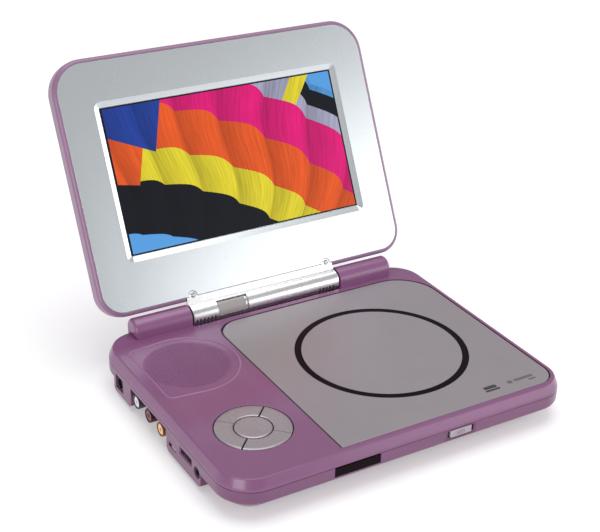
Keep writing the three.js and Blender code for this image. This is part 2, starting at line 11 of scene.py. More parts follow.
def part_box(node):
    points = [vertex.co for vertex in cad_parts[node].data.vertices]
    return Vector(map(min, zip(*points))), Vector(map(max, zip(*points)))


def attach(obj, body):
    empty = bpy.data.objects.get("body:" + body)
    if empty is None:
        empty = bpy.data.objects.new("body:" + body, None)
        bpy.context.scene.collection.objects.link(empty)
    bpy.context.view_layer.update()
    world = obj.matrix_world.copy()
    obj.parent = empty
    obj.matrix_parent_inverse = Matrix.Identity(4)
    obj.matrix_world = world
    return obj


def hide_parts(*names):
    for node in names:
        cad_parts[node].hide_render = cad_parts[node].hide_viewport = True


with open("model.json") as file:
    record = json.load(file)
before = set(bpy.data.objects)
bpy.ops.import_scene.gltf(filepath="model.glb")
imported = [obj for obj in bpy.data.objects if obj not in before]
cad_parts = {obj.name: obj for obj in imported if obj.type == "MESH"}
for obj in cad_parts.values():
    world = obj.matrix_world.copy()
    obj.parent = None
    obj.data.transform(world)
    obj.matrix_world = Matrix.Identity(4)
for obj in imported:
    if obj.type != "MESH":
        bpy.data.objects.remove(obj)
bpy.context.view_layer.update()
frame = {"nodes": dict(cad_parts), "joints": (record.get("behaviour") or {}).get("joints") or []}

# ---- places: everything is drawn in millimetres, then put where the frame says ----
MM = 0.001
joints = {joint["name"]: joint for joint in frame["joints"]}
LID_TILT = math.radians(26.7)  # how far the open lid leans back
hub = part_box("turntable")
ORIGIN = Vector((0, (hub[0].y + hub[1].y) / 2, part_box("disc_door")[1].z))
BASE_PLACE = Matrix.Translation(ORIGIN) @ Matrix.Scale(MM, 4)
HINGE = Vector(joints["lid_hinge"]["pos_m"])
LID_PLACE = Matrix.Translation(HINGE) @ Matrix.Rotation(-LID_TILT, 4, "X") @ Matrix.Scale(MM, 4)
# pieces of the lid are drawn flat, with their height as the depth into the lid
LID_FLAT = LID_PLACE @ Matrix.Rotation(math.radians(90), 4, "X")


def mm_box(node):
    """A node's lowest and highest corner in the base's own millimetres."""
    low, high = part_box(node)
    return (low - ORIGIN) / MM, (high - ORIGIN) / MM


def centre_of(node):
    low, high = mm_box(node)
    return (low + high) / 2


def side_spot(node):
    """A node's middle as seen on the left side: its y and z."""
    return centre_of(node).yz


base_low, base_high = mm_box("base_lower_case")
SNUG = 0.01  # the looks stay this far inside the CAD outline
BASE = (base_low.x + SNUG, base_high.x - SNUG, base_low.y + SNUG, base_high.y - SNUG)
BASE_CORNERS = (20, 18, 20, 20)
BOTTOM = base_low.z
PARTING = -6.5
TOP_INSET = 3.0
DOOR = (-40.5, 101.3, -71.0, 71.4)
DOOR_CORNERS = (1, 12, 25, 15)
DISC = centre_of("turntable").xy
RING_OUTER, RING_INNER = 49.7, 45.85
PAD = centre_of("key_enter").xy
PAD_RADIUS = 20.7
HINGE_HALF = 50.0  # half the length of the barrel between the two covers
COVER_LEFT, COVER_RIGHT = (-87.0, -51.0), (51.0, 88.0)
EAR_X, EAR_Z = 45.7, 11.5  # the two screws that hold the barrel to the lid
SPEAKER = centre_of("speaker_grille").xy
axis = (HINGE - ORIGIN) / MM
LID = (-102.8, 102.8, 8.5, 157.55)
LID_CORNERS = (15, 15, 20, 20)
LID_FRONT, LID_BACK = 2.1, -10.9  # heights of the lid's faces in its flat drawing
SCREEN = (-77.04, 77.04, 41.5, 128.1)


# ---- outlines ----
def arc(cx, cy, radius, start, end, steps):
    """Points along an arc, angles in degrees."""
    angles = [math.radians(start + (end - start) * i / steps) for i in range(steps + 1)]
    return [(cx + radius * math.cos(a), cy + radius * math.sin(a)) for a in angles]


def circle(centre, radius, steps=64):
    return arc(*centre, radius, 0, 360, steps)[:-1]


def rounded(area, radii, steps=14):
    """A rectangle x0, x1, y0, y1 with a radius for each corner, anticlockwise from front left."""
    x0, x1, y0, y1 = area
    a, b, c, d = radii if hasattr(radii, "__len__") else [radii] * 4
    return (
        arc(x0 + a, y0 + a, a, 180, 270, steps)
        + arc(x1 - b, y0 + b, b, 270, 360, steps)
        + arc(x1 - c, y1 - c, c, 0, 90, steps)
        + arc(x0 + d, y1 - d, d, 90, 180, steps)
    )


def shrink(points, inset):
    """The outline pulled in by inset, or let out where inset is negative."""
    out = []
    for i, b in enumerate(points):
        a, c = points[i - 1], points[(i + 1) % len(points)]
        u = Vector((b[0] - a[0], b[1] - a[1])).normalized()
        v = Vector((c[0] - b[0], c[1] - b[1])).normalized()
        m = Vector((-u.y - v.y, u.x + v.x))
        m = m * (2 * inset / max(m.length_squared, 0.5))
        out.append((b[0] + m.x, b[1] + m.y))
    return out


# ---- solids, as lists of vertices and faces ----
def stack(points, levels, closed=False):
    """An outline carried through levels of (inset, height). Closed joins the last level to the
    first, for a ring; otherwise both ends are capped."""
    verts, faces = [], []
    n = len(points)
    for inset, z in levels:
        verts += [(x, y, z) for x, y in shrink(points, inset)]
    count = len(levels)
    for k in range(count if closed else count - 1):
        a, b = k * n, (k + 1) % count * n
        faces += [(a + i, a + (i + 1) % n, b + (i + 1) % n, b + i) for i in range(n)]
    if not closed:
        faces.append(tuple(reversed(range(n))))
        faces.append(tuple(range((count - 1) * n, count * n)))
    return verts, faces


def edged(z0, z1, r, steps=3):
    """Levels of a plate from z0 to z1 whose two edges are rounded to r."""
    turn = [math.radians(90 * i / steps) for i in range(steps + 1)]
    low = [(r * (1 - math.sin(a)), z0 + r * (1 - math.cos(a))) for a in turn]
    return low + [(inset, z1 - (z - z0)) for inset, z in reversed(low)]


def flared(z0, z1, r):
    """Levels of a cutter that leaves a small rounded edge of size r where it comes out at z1."""
    turn = [math.radians(22.5 * i) for i in range(5)]
    lip = [(r * (math.cos(a) - 1), z1 - r + r * math.sin(a)) for a in turn]
    return [(0, z0)] + lip + [(-r, z1 + 1)]


def plate(points, z0, z1, r=0.3, steps=3):
    return stack(points, edged(z0, z1, r, steps))


def box(x0, x1, y0, y1, z0, z1, r=0.0):
    outline = rounded((x0, x1, y0, y1), max(r, 0.05), 3 if r else 1)
    return stack(outline, edged(z0, z1, r)) if r else stack(outline, [(0, z0), (0, z1)])


def turned(profile, centre, steps=64):
    """A lathe piece about a vertical line through centre; profile is (radius, z), both ends on
    the axis."""
    verts, faces = [], []
    inner = profile[1:-1]
    for radius, z in inner:
        verts += [(x, y, z) for x, y in circle(centre, radius, steps)]
    for k in range(len(inner) - 1):
        a, b = k * steps, (k + 1) * steps
        faces += [(a + i, a + (i + 1) % steps, b + (i + 1) % steps, b + i) for i in range(steps)]
    for z, first in ((profile[0][1], 0), (profile[-1][1], (len(inner) - 1) * steps)):
        verts.append((*centre, z))
        tip = len(verts) - 1
        faces += [(tip, first + (i + 1) % steps, first + i) for i in range(steps)]
    return verts, faces


def merged(shapes):
    """Several separate solids as one shape, to cut with them all at once."""
    verts, faces = [], []
    for part_verts, part_faces in shapes:
        start = len(verts)
        verts += part_verts
        faces += [tuple(start + i for i in face) for face in part_faces]
    return verts, faces


def turn_shape(shape, matrix):
    verts, faces = shape
    return [tuple(matrix @ Vector(v)) for v in verts], faces


def along_x(shape, x, y, z):
    """Stands a piece drawn about the vertical axis on its side: its height runs along +X."""
    return turn_shape(shape, Matrix.Translation((x, y, z)) @ Matrix.Rotation(math.radians(90), 4, "Y"))


def across(shape, x=0.0):
    """Lays a piece across the hinge line: drawn as (y, z) outlines whose height runs along +X."""
    return turn_shape(shape, Matrix(((0, 0, 1, x), (1, 0, 0, 0), (0, 1, 0, 0), (0, 0, 0, 1))))


# ---- pieces ----
def raw_object(name, shape):
    mesh = bpy.data.meshes.new(name)
    mesh.from_pydata(shape[0], [], shape[1])
    work = bmesh.new()
    work.from_mesh(mesh)
    bmesh.ops.remove_doubles(work, verts=work.verts, dist=1e-4)
    bmesh.ops.recalc_face_normals(work, faces=work.faces)
    work.to_mesh(mesh)
    work.free()
    obj = bpy.data.objects.new(name, mesh)
    bpy.context.scene.collection.objects.link(obj)
    return obj


class Piece:
    """A solid drawn in millimetres; done() puts it in its place with its material and body."""

    def __init__(self, name, shape):
        self.obj = raw_object(name, shape)

    def _boolean(self, shape, operation):
        tool = raw_object("tool", shape)
        modifier = self.obj.modifiers.new("boolean", "BOOLEAN")
        modifier.operation = operation
        modifier.solver = "MANIFOLD"
        modifier.object = tool
        graph = bpy.context.evaluated_depsgraph_get()
        mesh = bpy.data.meshes.new_from_object(self.obj.evaluated_get(graph))
        self.obj.modifiers.remove(modifier)
        old = self.obj.data
        self.obj.data = mesh
        bpy.data.meshes.remove(old)
        bpy.data.objects.remove(tool)

    def keep(self, shape):
        self._boolean(shape, "INTERSECT")
        return self

    def cut(self, *shapes):
        for shape in shapes:
            self._boolean(shape, "DIFFERENCE")
        return self

    def join(self, *shapes):
        for shape in shapes:
            self._boolean(shape, "UNION")
        return self

    def done(self, body, slot, material, *nodes, place=BASE_PLACE, angle=35):
        obj = self.obj
        # close up the slivers and loose points that the booleans left
        work = bmesh.new()
        work.from_mesh(obj.data)
        bmesh.ops.remove_doubles(work, verts=work.verts, dist=2e-3)
        bmesh.ops.dissolve_degenerate(work, edges=work.edges, dist=1e-3)
        loose = [v for v in work.verts if not v.link_faces]
        bmesh.ops.delete(work, geom=loose, context="VERTS")
        work.to_mesh(obj.data)
        work.free()
        obj.data.transform(place)
        obj.data.polygons.foreach_set("use_smooth", [True] * len(obj.data.polygons))
        obj.data.set_sharp_from_angle(angle=math.radians(angle))
        weighted = obj.modifiers.new("normals", "WEIGHTED_NORMAL")
        weighted.keep_sharp = True
        obj.data.materials.clear()
        obj.data.materials.append(material)
        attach(obj, body)
        if nodes:
            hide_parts(*nodes)


def carved(shape, tool):
    """The shape with the tool cut out of it, as vertices and faces again."""
    rest = Piece("carved", shape).cut(tool).obj
    verts = [tuple(v.co) for v in rest.data.vertices]
    faces = [tuple(p.vertices) for p in rest.data.polygons]
    bpy.data.objects.remove(rest)
    return verts, faces


def rod(radius, length, centre=(0, 0), steps=32):
    """A plain round bar from height 0 up to length."""
    return turned([(0, 0), (radius, 0), (radius, length), (0, length)], centre, steps)


# ---- materials ----
class Surface:
    """A node material with short calls for its nodes."""

    def __init__(self, name):
        self.material = bpy.data.materials.new(name)
        self.material.use_nodes = True
        self.tree = self.material.node_tree
        self.shader = self.tree.nodes["Principled BSDF"]
        self.coords = self.node("TexCoord").outputs["Object"]

    def node(self, kind, inputs=None, **settings):
        made = self.tree.nodes.new("ShaderNode" + kind)
        for key, value in settings.items():
            setattr(made, key, value)
        for key, value in (inputs or {}).items():
            self.feed(made.inputs[key], value)
        return made

    def feed(self, socket, value):
        if isinstance(value, bpy.types.NodeSocket):
            self.tree.links.new(value, socket)
        else:
            socket.default_value = value

    def set(self, **sockets):
        for key, value in sockets.items():
            self.feed(self.shader.inputs[key.replace("_", " ")], value)
        return self

    def noise(self, scale, detail=3.0, stretch=None):
        vector = self.coords
        if stretch:
            vector = self.node("Mapping", {"Vector": vector, "Scale": stretch}).outputs["Vector"]
        made = self.node("TexNoise", {"Vector": vector, "Scale": scale, "Detail": detail})
        return made.outputs["Fac"]

    def spread(self, value, low, high, start=0.3, end=0.7):
        """Maps a noise value from start..end to low..high."""
        inputs = {"Value": value, "From Min": start, "From Max": end, "To Min": low, "To Max": high}
        return self.node("MapRange", inputs).outputs["Result"]

    def blend(self, factor, first, second):
        made = self.node("Mix", data_type="RGBA")
        self.feed(made.inputs["Factor"], factor)
        self.feed(made.inputs[6], first)
        self.feed(made.inputs[7], second)
        return made.outputs[2]

    def calc(self, operation, a, b=0.0, c=0.0):
        made = self.node("Math", operation=operation)
        for socket, value in zip(made.inputs, (a, b, c)):
            self.feed(socket, value)
        return made.outputs["Value"]

    def within(self, a, a_low, a_high, b, b_low, b_high):
        """1 where both values lie between their limits, otherwise 0."""
        tests = [self.calc("GREATER_THAN", a, a_low), self.calc("LESS_THAN", a, a_high),
                 self.calc("GREATER_THAN", b, b_low), self.calc("LESS_THAN", b, b_high)]
        result = tests[0]
        for test in tests[1:]:
            result = self.calc("MULTIPLY", result, test)
        return result

    def bump(self, height, strength, distance):
        made = self.node("Bump", {"Height": height, "Strength": strength, "Distance": distance})
        return made.outputs["Normal"]


def shade(color, factor):
    return (*[min(c * factor, 1.0) for c in color[:3]], 1.0)


def moulded(name, color, roughness, grain=0.12, grain_scale=5200, metallic=0.0, coat=0.0, vary=0.05,
            specular=0.5, wear=0.1):
    """Moulded or painted plastic: a fine grain, slow tone changes, handling marks in the gloss and
    sharp edges painted lighter, partly as rubbed wear and partly as a painted highlight."""
    s = Surface(name)
    slow = s.spread(s.noise(22, 2), 0, 1)
    tone = s.blend(slow, shade(color, 1 - vary), shade(color, 1 + vary))
    speck = s.spread(s.noise(grain_scale, 2), 0, 2 * vary)
    tone = s.blend(speck, tone, shade(color, 1.35))
    # painted highlight: sharp edges, found by pointiness, are painted up to half again lighter, partly as
    # rubbed wear and partly as light caught on the edges
    edge = s.spread(s.node("NewGeometry").outputs["Pointiness"], 0, 0.35, 0.53, 0.6)
    tone = s.blend(edge, tone, shade(color, 1.5))
    marks = s.noise(160, 4, (1.0, 0.35, 1.0))
    rough = s.spread(marks, roughness * (1 - wear), roughness * (1 + wear))
    s.set(Base_Color=tone, Roughness=rough, Metallic=metallic, Coat_Weight=coat, Coat_Roughness=0.14)
    s.set(Normal=s.bump(s.noise(grain_scale, 3), grain, 0.00004), Specular_IOR_Level=specular)
    return s.material


def rubbery(name, color):
    s = Surface(name)
    tone = s.blend(s.spread(s.noise(900, 4), 0, 1), shade(color, 0.8), shade(color, 1.5))
    s.set(Base_Color=tone, Roughness=s.spread(s.noise(300, 3), 0.75, 0.95))
    s.set(Normal=s.bump(s.noise(2500, 4), 0.4, 0.0001))
    return s.material


def metal(name, color, roughness, stretch=(1.0, 30.0, 1.0)):
    """Turned or rolled steel: fine lines along one way."""
    s = Surface(name)
    lines = s.noise(700, 3, stretch)
    s.set(Base_Color=s.blend(s.spread(lines, 0, 1), shade(color, 0.85), shade(color, 1.1)))
    s.set(Metallic=1.0, Roughness=s.spread(lines, roughness * 0.8, roughness * 1.25))
    s.set(Normal=s.bump(lines, 0.06, 0.00003))
    return s.material


def circuit(name):
    """Green solder mask with paler copper tracks under it."""
    s = Surface(name)
    brick = s.node("TexBrick", {"Vector": s.coords, "Scale": 160.0, "Mortar Size": 0.03})
    tracks = s.spread(brick.outputs["Fac"], 0, 1, 0, 1)
    s.set(Base_Color=s.blend(tracks, (0.01, 0.09, 0.035, 1), (0.03, 0.2, 0.07, 1)))
    s.set(Roughness=s.spread(s.noise(400), 0.35, 0.55), Normal=s.bump(tracks, 0.3, 0.0001))
    return s.material


PICTURE = {
    "sky": (0.10, 0.36, 0.78, 1),
    "black": (0.004, 0.005, 0.008, 1),
    "yellow": (0.82, 0.70, 0.03, 1),
    "orange": (0.86, 0.11, 0.015, 1),
    "magenta": (0.80, 0.008, 0.20, 1),
    "lilac": (0.42, 0.42, 0.58, 1),
    "blue": (0.015, 0.055, 0.35, 1),
}
# where each band of cloth starts, as a share of the way out from NEAR to NEAR + REACH
BANDS = [(0.0, "sky"), (0.14, "black"), (0.33, "yellow"), (0.455, "orange"), (0.61, "magenta"),
         (0.765, "lilac"), (0.86, "sky")]
NEAR, REACH = 1.4, 1.8


class Picture(Surface):
    """The lit screen: bands of coloured cloth that fan out round a far point, folded along rays,
    with a few flat patches in the corners. Lengths are in screen heights."""

    def __init__(self, name):
        super().__init__(name)
        self.flat = self.node("UVMap", uv_map="screen").outputs["UV"]
        across_up = self.node("SeparateXYZ", {"Vector": self.flat}).outputs
        self.share = across_up["X"]
        self.x = self.calc("MULTIPLY", self.share, 1.78)
        self.y = across_up["Y"]
        dx, dy = self.calc("ADD", self.x, 0.2), self.calc("ADD", self.y, 1.5)
        squares = self.calc("ADD", self.calc("MULTIPLY", dx, dx), self.calc("MULTIPLY", dy, dy))
        self.far = self.calc("SQRT", squares)
        self.angle = self.calc("ARCTAN2", dy, dx)

    def folds(self):
        """Counts the folds along the bands; the fraction is the place within one fold."""
        drift = self.node("TexNoise", {"Vector": self.flat, "Scale": 1.1, "Detail": 0.0})
        fold = self.calc("ADD", self.calc("MULTIPLY", self.angle, -7.5),
                         self.calc("MULTIPLY", self.far, 1.1))
        self.fold = self.calc("ADD", fold, self.calc("MULTIPLY", drift.outputs["Fac"], 1.3))
        self.part = self.calc("FRACT", self.fold)
        # each fold's edge climbs slowly and falls back steeply
        hump = self.calc("SUBTRACT", self.part, self.calc("POWER", self.part, 7.0))
        depth = self.spread(self.far, 0.012, 0.075, 1.6, 2.5)
        self.radius = self.calc("SUBTRACT", self.far, self.calc("MULTIPLY", hump, depth))

    def bands(self):
        place = self.calc("DIVIDE", self.calc("SUBTRACT", self.radius, NEAR), REACH)
        ramp = self.node("ValToRGB", {"Fac": place})
        ramp.color_ramp.interpolation = "CONSTANT"
        stops = ramp.color_ramp.elements
        while len(stops) < len(BANDS):
            stops.new(0.5)
        for stop, (start, colour) in zip(stops, BANDS):
            stop.position = start
            stop.color = PICTURE[colour]
        return ramp.outputs["Color"]

    def patches(self, cloth):
        """Flat patches: orange and blue at the upper left, a dark tail and a yellow edge against
        the sky at the upper right."""
        slant = self.calc("SUBTRACT", self.x, self.calc("MULTIPLY", self.y, 0.32))
        rise = self.calc("ADD", self.y, self.calc("MULTIPLY", self.x, 0.45))
        corner = self.calc("MULTIPLY", self.calc("GREATER_THAN", rise, 0.8),
                           self.calc("LESS_THAN", slant, 0.12))
        tilt = self.calc("MULTIPLY_ADD", self.x, 0.2, self.y)
        side = self.within(slant, -1.0, 0.02, tilt, 0.485, 2.0)
        tail = self.within(self.radius, 2.87, 2.98, self.angle, 0.80, 0.945)
        edge = self.within(self.radius, 2.78, 3.30, self.angle, 0.945, 0.985)
        for mask, colour in ((side, "orange"), (corner, "blue"), (tail, "black"), (edge, "yellow")):
            cloth = self.blend(mask, cloth, PICTURE[colour])
        return cloth

    def shading(self):
        """Light and shade of the folds, and the fine pull lines of the cloth."""
        threads = self.node("CombineXYZ", {"X": self.calc("MULTIPLY", self.fold, 9.0),
                                           "Y": self.calc("MULTIPLY", self.far, 1.5)})
        wrinkle = self.node("TexNoise", {"Vector": threads.outputs["Vector"], "Scale": 2.6, "Detail": 4.0})
        light = self.calc("ADD", self.calc("MULTIPLY_ADD", self.part, 0.50, 0.64),
                          self.calc("MULTIPLY", self.calc("POWER", self.part, 9.0), -0.38))
        light = self.calc("MULTIPLY", light, self.spread(wrinkle.outputs["Fac"], 0.78, 1.16))
        return self.node("CombineColor", {k: light for k in ("Red", "Green", "Blue")}).outputs["Color"]


def picture(name):
    s = Picture(name)
    s.folds()
    cloth = s.patches(s.bands())
    glow = s.node("Mix", data_type="RGBA", blend_type="MULTIPLY")
    on_cloth = s.calc("MULTIPLY", s.calc("GREATER_THAN", s.radius, 1.65),
                      s.calc("LESS_THAN", s.radius, 3.02))
    s.feed(glow.inputs["Factor"], on_cloth)
    s.feed(glow.inputs[6], cloth)
    s.feed(glow.inputs[7], s.shading())
    lit = s.within(s.share, 0.006, 0.994, s.y, 0.010, 0.990)
    shown = s.blend(lit, PICTURE["black"], glow.outputs[2])
    s.set(Base_Color=(0.01, 0.01, 0.012, 1), Roughness=0.22, Emission_Color=shown)
    s.set(Emission_Strength=0.95, Specular_IOR_Level=0.04)
    return s.material


MAUVE = (0.182, 0.062, 0.158)
mauve = moulded("mauve plastic", MAUVE, 0.36, grain=0.10, coat=0.4, vary=0.04)
# painted light: the hinge covers get a copy of the base mauve made a tenth lighter, standing in for light
# on their tops and fronts
mauve_cover_painted_lighter = moulded("mauve cover plastic painted lighter", shade(MAUVE, 1.10), 0.36, grain=0.08, coat=0.5, vary=0.04)
mauve_lid = moulded("mauve lid plastic", (0.235, 0.12, 0.215), 0.34, grain=0.08, coat=0.2, vary=0.04)
# painted shade: the lower case gets a darker copy of the base mauve, standing in for the shade on its
# downward faces
mauve_low_painted_shade = moulded("mauve lower plastic painted darker", (0.138, 0.041, 0.114), 0.36, grain=0.10, coat=0.3, vary=0.04)
# painted highlight: the speaker ridge gets a lighter copy of the base mauve, standing in for the light its
# edges catch
mauve_painted_highlight = moulded("mauve painted highlight plastic", (0.27, 0.11, 0.24), 0.3, grain=0.05, coat=0.2, vary=0.03)
mauve_grille = moulded("mauve grille plastic", shade(MAUVE, 1.02), 0.45, grain=0.2, vary=0.04)
bezel_paint = moulded("bezel paint", (0.585, 0.62, 0.645), 0.27, grain=0.02, grain_scale=700,
                      metallic=0.85, vary=0.008, wear=0.015)
barrel_paint = moulded("barrel paint", (0.68, 0.68, 0.69), 0.27, grain=0.02, grain_scale=700,
                       metallic=0.95, vary=0.015)
door_paint = moulded("door paint", (0.290, 0.262, 0.285), 0.38, grain=0.08, metallic=0.35, vary=0.03)
key_paint = moulded("key paint", (0.33, 0.30, 0.325), 0.28, grain=0.06, metallic=0.5, vary=0.02)
button_paint = moulded("button paint", (0.33, 0.285, 0.33), 0.3, grain=0.06, metallic=0.4, vary=0.02)
ring_gloss = moulded("ring lacquer", (0.005, 0.002, 0.005), 0.35, grain=0.01, vary=0.2, specular=0.05)
black_plastic = moulded("black plastic", (0.010, 0.008, 0.010), 0.5, grain=0.3, vary=0.2, specular=0.3)
bay_plastic = moulded("bay plastic", (0.09, 0.09, 0.1), 0.5, grain=0.3, vary=0.08)
window_plastic = moulded("window plastic", (0.30, 0.275, 0.27), 0.3, grain=0.05, vary=0.04)
ir_plastic = moulded("infrared window", (0.004, 0.001, 0.003), 0.2, grain=0.01, vary=0.2, specular=0.06)
mark_ink = moulded("mark ink", (0.045, 0.038, 0.045), 0.5, grain=0.1, vary=0.1, specular=0.2)
mark_pale_ink = moulded("pale mark ink", (0.12, 0.105, 0.115), 0.5, grain=0.1, vary=0.1, specular=0.2)
# painted shade: each socket's sleeve is a dark copy of its insulator colour, standing in for the shade on
# the socket's side
jack_white = (moulded("white insulator", (0.66, 0.63, 0.65), 0.3, grain=0.04, vary=0.03),
              moulded("white jack sleeve in painted shade", (0.06, 0.05, 0.06), 0.35, metallic=0.4, grain=0.04, vary=0.1))
jack_red = (moulded("red insulator", (0.14, 0.03, 0.045), 0.3, grain=0.04, vary=0.05),
            moulded("red jack sleeve in painted shade", (0.06, 0.02, 0.03), 0.35, metallic=0.4, grain=0.04, vary=0.1))
jack_yellow = (moulded("yellow insulator", (0.72, 0.42, 0.22), 0.3, grain=0.04, vary=0.05),
               moulded("yellow jack sleeve in painted shade", (0.22, 0.085, 0.03), 0.35, metallic=0.3, grain=0.04, vary=0.1))
battery_wrap = moulded("battery wrap", (0.03, 0.06, 0.2), 0.35, grain=0.1, vary=0.06)
lens_glass = moulded("lens glass", (0.10, 0.12, 0.30), 0.05, grain=0.0, vary=0.1)
rubber = rubbery("rubber", (0.018, 0.018, 0.019))
steel = metal("steel", (0.5, 0.5, 0.52), 0.3)
screw_steel = metal("screw steel", (0.62, 0.62, 0.64), 0.22)
board = circuit("circuit board")
screen_picture = picture("screen picture")


# ---- screws ----
def screw_head(node, shape, centre, arm, z0, z1, matrix, body, place):
    """A screw with a cross recess, drawn upright and turned by matrix."""
    x, y = centre
    screw = Piece(node + "_head", turn_shape(shape, matrix))
    for wide, high in ((arm, 0.16), (0.16, arm)):
        screw.cut(turn_shape(box(x - wide, x + wide, y - high, y + high, z0, z1), matrix))
    screw.done(body, "screw_steel", screw_steel, node, place=place)


# ---- base: upper case ----
BASE_OUTLINE = rounded(BASE, BASE_CORNERS, 18)


def case_top():
    # a soft lower edge, the sloping band, then a tight round onto the flat top
    band = [(0.0, PARTING + 0.25), (0.06, PARTING + 0.8), (0.3, PARTING + 1.9)]
    for i in range(7):
        turn = math.radians(23 + 67 * i / 6)
        band.append((TOP_INSET - 1.1 * math.cos(turn), -1.1 + 1.1 * math.sin(turn)))
    inner = [(TOP_INSET + 2.2, -2.0), (2.6, -2.0), (2.4, PARTING)]
    lip = [(0.3, PARTING), (0.12, PARTING + 0.1)]
    shell = Piece("case_top", stack(BASE_OUTLINE, inner + lip + band))
    door_hole = rounded((DOOR[0] - 0.4, DOOR[1] + 0.4, DOOR[2] - 0.25, DOOR[3] + 0.5), DOOR_CORNERS)
    shell.cut(
        stack(door_hole, flared(-4, 0, 0.22)),
        stack(circle(PAD, PAD_RADIUS + 0.35, 72), flared(-4, 0, 0.3)),
        stack(circle(SPEAKER, 24.75, 72), [(0, -4), (0, 1)]),
    )
    # the trough that the barrel turns in, and the seats of the two covers
    wide = HINGE_HALF + 0.7
    shell.join(box(-wide - 1.5, wide + 1.5, axis.y - 9.6, BASE[3] - 1.4, PARTING + 0.05, -0.4))
    back = BASE[3] + 5
    shell.cut(
        box(-wide, wide, axis.y - 8.1, back, -5.2, 3, 0.4),
        box(COVER_LEFT[0] - 0.15, -wide + 0.05, axis.y + 2.5, back, PARTING - 3, 3),
        box(wide - 0.05, COVER_RIGHT[1] + 0.15, axis.y + 2.5, back, PARTING - 3, 3),
    )
    shell.done("base", "base_purple", mauve, "base_upper_case")


# ---- base: lower case with its connector blocks ----
RCA = {"rca_white": jack_white, "rca_red": jack_red, "rca_yellow": jack_yellow}
JACK_PANEL = -98.5
LEDGE = -8.6  # top of the recess that the three sockets stand in
REAR_BLOCK, FRONT_BLOCK = (43.6, 67), (-41.6, -1.5)


def side_hole(radius, y, z, depth=12.0, lip=0.3):
    """A round cutter into the left side, with a small chamfer at the face."""
    wide = radius + lip + 1
    profile = [(0, 0), (wide, 0), (wide, 1 - lip), (radius, 1 + lip), (radius, depth), (0, depth)]
    return along_x(turned(profile, (0, 0), 32), BASE[0] - 1, y, z)


def case_walls():
    top, under = PARTING - 0.12, BOTTOM
    outer = [(0.35, top), (0.12, top - 0.06), (0, top - 0.3), (0, under + 9.8), (0.12, under + 9.0),
             (0.5, under + 8.2), (8.6, under + 1.1), (9.6, under + 0.35), (10.6, under)]
    inner = [(11.4, under + 2), (2.4, under + 10.4), (2.2, top)]
    shell = Piece("case_bottom", stack(BASE_OUTLINE, inner + outer))
    z0, z1 = under + 0.3, top - 0.3
    for y0, y1 in (REAR_BLOCK, FRONT_BLOCK):
        face = [(y0, z0 + 1.6), (y0 + 2.2, z0), (y1 - 2.2, z0), (y1, z0 + 1.6), (y1, z1), (y0, z1)]
        levels = [(0.5, 0), (0.13, 0.15), (0, 0.5), (0, 9.8)]
        shell.join(across(stack(face, levels), BASE[0] + 0.02))
    y0, y1 = FRONT_BLOCK[1] - 1.5, REAR_BLOCK[0] + 1.4
    shell.join(box(JACK_PANEL, -96.3, y0, y1, under + 0.9, z1, 0.3))
    shell.join(box(BASE[0] + 0.8, JACK_PANEL + 1, y0, y1, LEDGE, z1, 0.2))
    return shell


def cut_left_side(shell):
    left = BASE[0]
    far, deep = left - 10, -94
    dc_low, dc_high = mm_box("dc_jack")
    knob_low, knob_high = mm_box("power_switch")
    knob_z = (knob_low.z + knob_high.z) / 2
    wheel_y, wheel_z = centre_of("volume_wheel").y, -12.0
    shell.cut(
        box(far, JACK_PANEL, FRONT_BLOCK[1], REAR_BLOCK[0], -40, LEDGE),
        box(far, deep, dc_low.y - 0.15, dc_high.y + 0.15, dc_low.z - 0.15, dc_high.z + 0.15, 0.3),
        side_hole(3.2, *side_spot("phone_jack")),
        box(far, -103.4, wheel_y - 6.3, wheel_y + 6.3, wheel_z - 1.7, wheel_z + 1.7),
        box(far, left + 0.5, wheel_y - 7.2, wheel_y + 7.2, wheel_z - 2.4, wheel_z + 2.4, 0.45),
        box(-103.5, -87, wheel_y - 9, wheel_y + 9, wheel_z - 1.7, wheel_z + 1.7),
        box(far, deep, knob_low.y - 0.7, knob_high.y + 3.2, knob_z - 1.3, knob_z + 1.3),
    )
    for name in RCA:
        shell.cut(side_hole(4.4, *side_spot(name), 14))


def cut_front(shell):
    face = BASE[2]
    far = face - 4
    low, high = mm_box("ir_window")
    shell.cut(box(low.x - 0.1, high.x + 0.1, far, face + 5, low.z - 0.1, 0))
    low, high = mm_box("open_button")
    shell.cut(
        box(low.x - 0.25, high.x + 0.25, far, face + 5, low.z - 0.25, high.z + 0.25),
        box(low.x - 3.2, high.x + 2.2, far, face + 0.7, low.z - 0.7, high.z + 0.7, 0.6),
        box(low.x - 1.5, low.x, far, face + 4, low.z + 0.3, high.z - 0.3),
        box(high.x, high.x + 1.5, far, face + 4, low.z + 0.3, high.z - 0.3),
    )


def cut_underside(shell):
    under = BOTTOM
    for i in range(1, 5):
        spot = centre_of(f"case_screw_{i}").xy
        sink = [(-0.5, -40), (-0.5, under), (0, under + 0.5), (0, under + 1.2)]
        shell.cut(stack(circle(spot, 3, 32), sink), stack(circle(spot, 1.5, 16), [(0, -40), (0, -18)]))
        spot = centre_of(f"foot_{i}").xy
        shell.cut(stack(circle(spot, 6.25, 40), [(0, -40), (0, under + 0.55)]))
    # vent slots across the underside
    for i in range(9):
        x = -34 + 8.5 * i
        shell.cut(stack(rounded((x, x + 2.6, 8, 40), 1.3, 6), [(0, -40), (0, under + 0.9)]))


def case_bottom():
    shell = case_walls()
    cut_left_side(shell)
    cut_front(shell)
    cut_underside(shell)
    # the lower case's darker mauve is painted shade
    shell.done("base", "base_purple", mauve_low_painted_shade, "base_lower_case")


